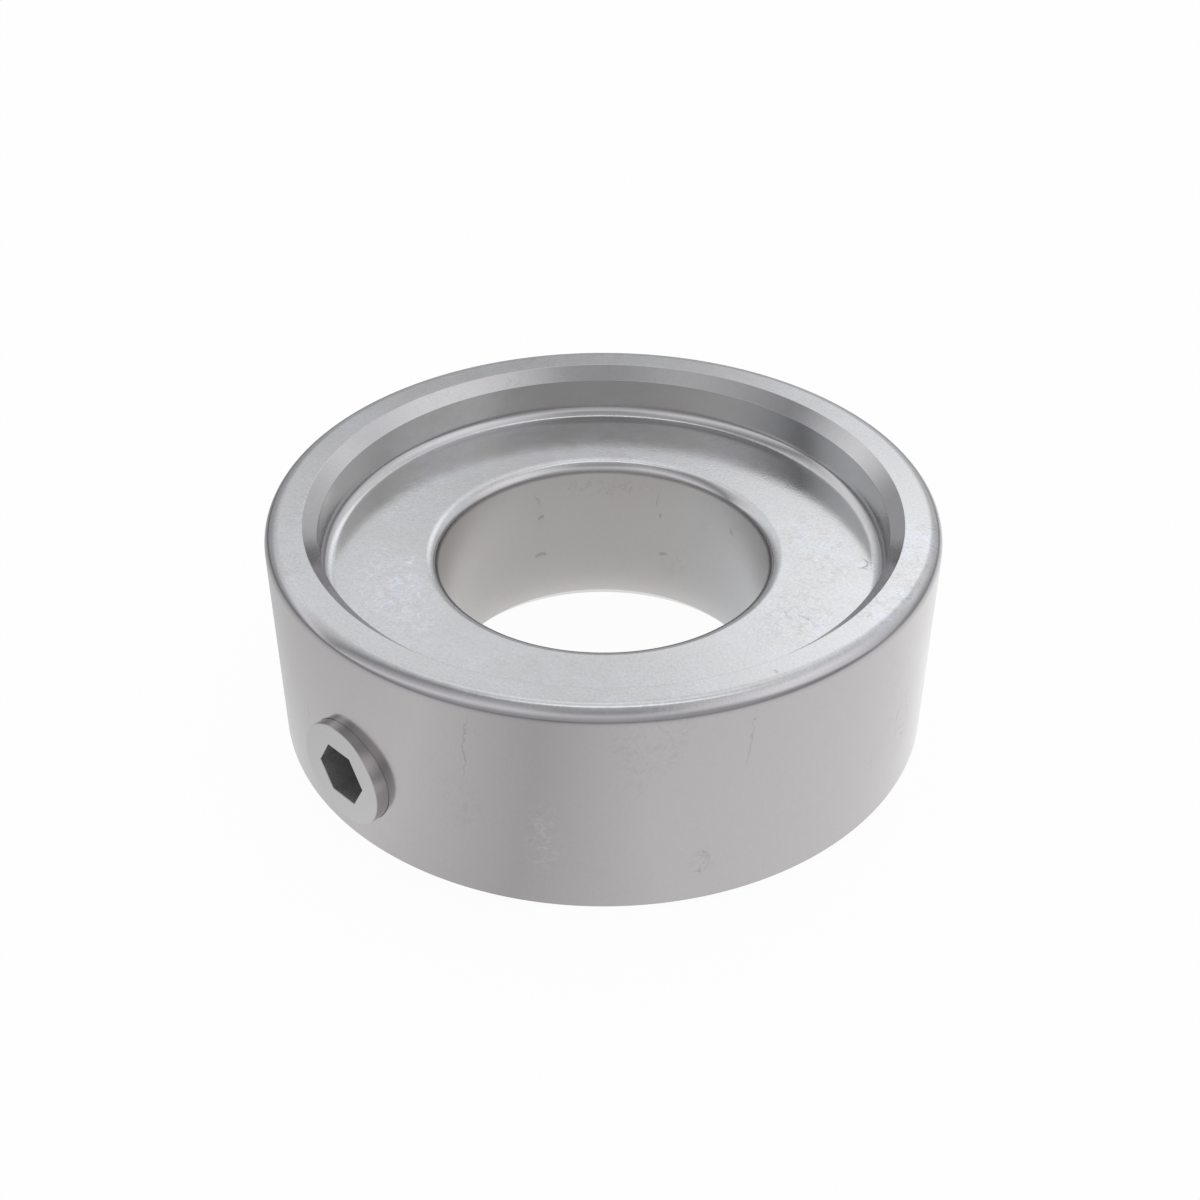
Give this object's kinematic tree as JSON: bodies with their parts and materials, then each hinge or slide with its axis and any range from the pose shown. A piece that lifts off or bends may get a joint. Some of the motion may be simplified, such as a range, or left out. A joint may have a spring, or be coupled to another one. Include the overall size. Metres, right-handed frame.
{
  "type": "eccentric locking collar",
  "caption": "Steel eccentric locking collar with an off-centre recess, a plain shaft bore and a radial socket set screw that locks it to the shaft.",
  "frame": {"origin": "on the axis of the shaft bore, in the plain end face that the collar rests on", "axes": "+Z along the shaft bore towards the recessed end, -Y along the set screw towards its key socket"},
  "size_m": [0.0381, 0.0386, 0.0135],
  "materials": {
    "ring_steel": "bare steel, satin, turned and tumbled",
    "screw_steel": "bare steel, fine matte"
  },
  "bodies": {
    "collar": {"collar_ring": "ring_steel"},
    "screw": {"set_screw": "screw_steel"}
  },
  "joints": [
    {"name": "screw_travel", "type": "slide", "parent": "collar", "child": "screw", "axis": [0, -1, 0], "range_m": [-0.002, 0.005]}
  ]
}
